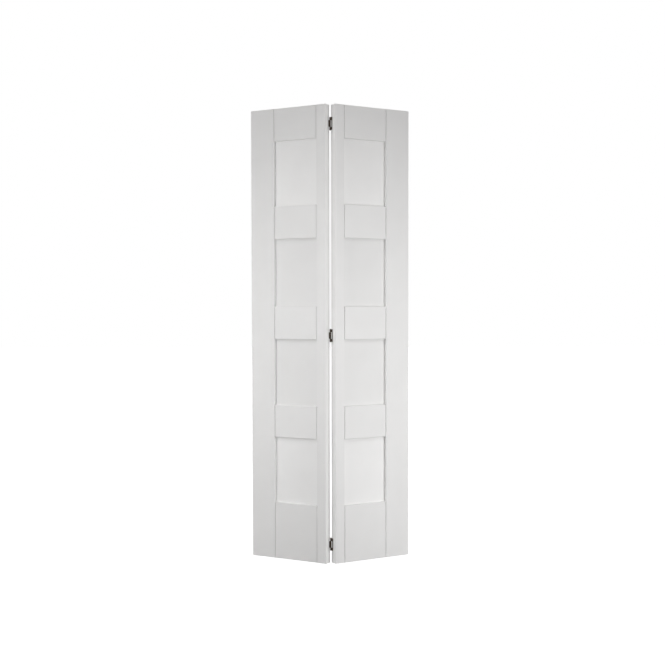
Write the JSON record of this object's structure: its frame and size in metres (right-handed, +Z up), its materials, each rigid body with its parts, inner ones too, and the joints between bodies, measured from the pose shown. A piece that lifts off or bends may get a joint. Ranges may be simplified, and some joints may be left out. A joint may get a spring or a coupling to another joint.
{
  "type": "bifold closet door",
  "caption": "Shaker-style bifold closet door with flat recessed panels, its leaves joined by nested flush hinges and shown part folded.",
  "frame": {"origin": "on the floor, under the middle of the part-folded door's box", "axes": "+Z up along the hinge pins, +X to the right leaf seen from the room, -Y towards the room, where the fold points"},
  "size_m": [0.6988, 0.2188, 1.981],
  "materials": {
    "primed_timber": "white primer, satin",
    "primed_board": "white primer, satin",
    "hinge_steel": "dark bronze lacquer",
    "screw_steel": "dark bronze lacquer"
  },
  "bodies": {
    "left_leaf": {"left_hinge_stile": "primed_timber", "left_outer_stile": "primed_timber", "left_bottom_rail": "primed_timber", "left_lower_rail": "primed_timber", "left_middle_rail": "primed_timber", "left_upper_rail": "primed_timber", "left_top_rail": "primed_timber", "left_bottom_panel": "primed_board", "left_lower_panel": "primed_board", "left_upper_panel": "primed_board", "left_top_panel": "primed_board", "bottom_hinge_inner_leaf": "hinge_steel", "bottom_hinge_left_screw_low": "screw_steel", "bottom_hinge_left_screw_high": "screw_steel", "middle_hinge_inner_leaf": "hinge_steel", "middle_hinge_left_screw_low": "screw_steel", "middle_hinge_left_screw_high": "screw_steel", "top_hinge_inner_leaf": "hinge_steel", "top_hinge_left_screw_low": "screw_steel", "top_hinge_left_screw_high": "screw_steel"},
    "right_leaf": {"right_hinge_stile": "primed_timber", "right_outer_stile": "primed_timber", "right_bottom_rail": "primed_timber", "right_lower_rail": "primed_timber", "right_middle_rail": "primed_timber", "right_upper_rail": "primed_timber", "right_top_rail": "primed_timber", "right_bottom_panel": "primed_board", "right_lower_panel": "primed_board", "right_upper_panel": "primed_board", "right_top_panel": "primed_board", "bottom_hinge_outer_leaf": "hinge_steel", "bottom_hinge_pin": "hinge_steel", "bottom_hinge_right_screw_low": "screw_steel", "bottom_hinge_right_screw_high": "screw_steel", "middle_hinge_outer_leaf": "hinge_steel", "middle_hinge_pin": "hinge_steel", "middle_hinge_right_screw_low": "screw_steel", "middle_hinge_right_screw_high": "screw_steel", "top_hinge_outer_leaf": "hinge_steel", "top_hinge_pin": "hinge_steel", "top_hinge_right_screw_low": "screw_steel", "top_hinge_right_screw_high": "screw_steel"}
  },
  "joints": [
    {"name": "fold", "type": "hinge", "parent": "left_leaf", "child": "right_leaf", "pos_m": [0, -0.076, 0.9905], "axis": [0, 0, 1], "range_deg": [-60, 120]}
  ]
}
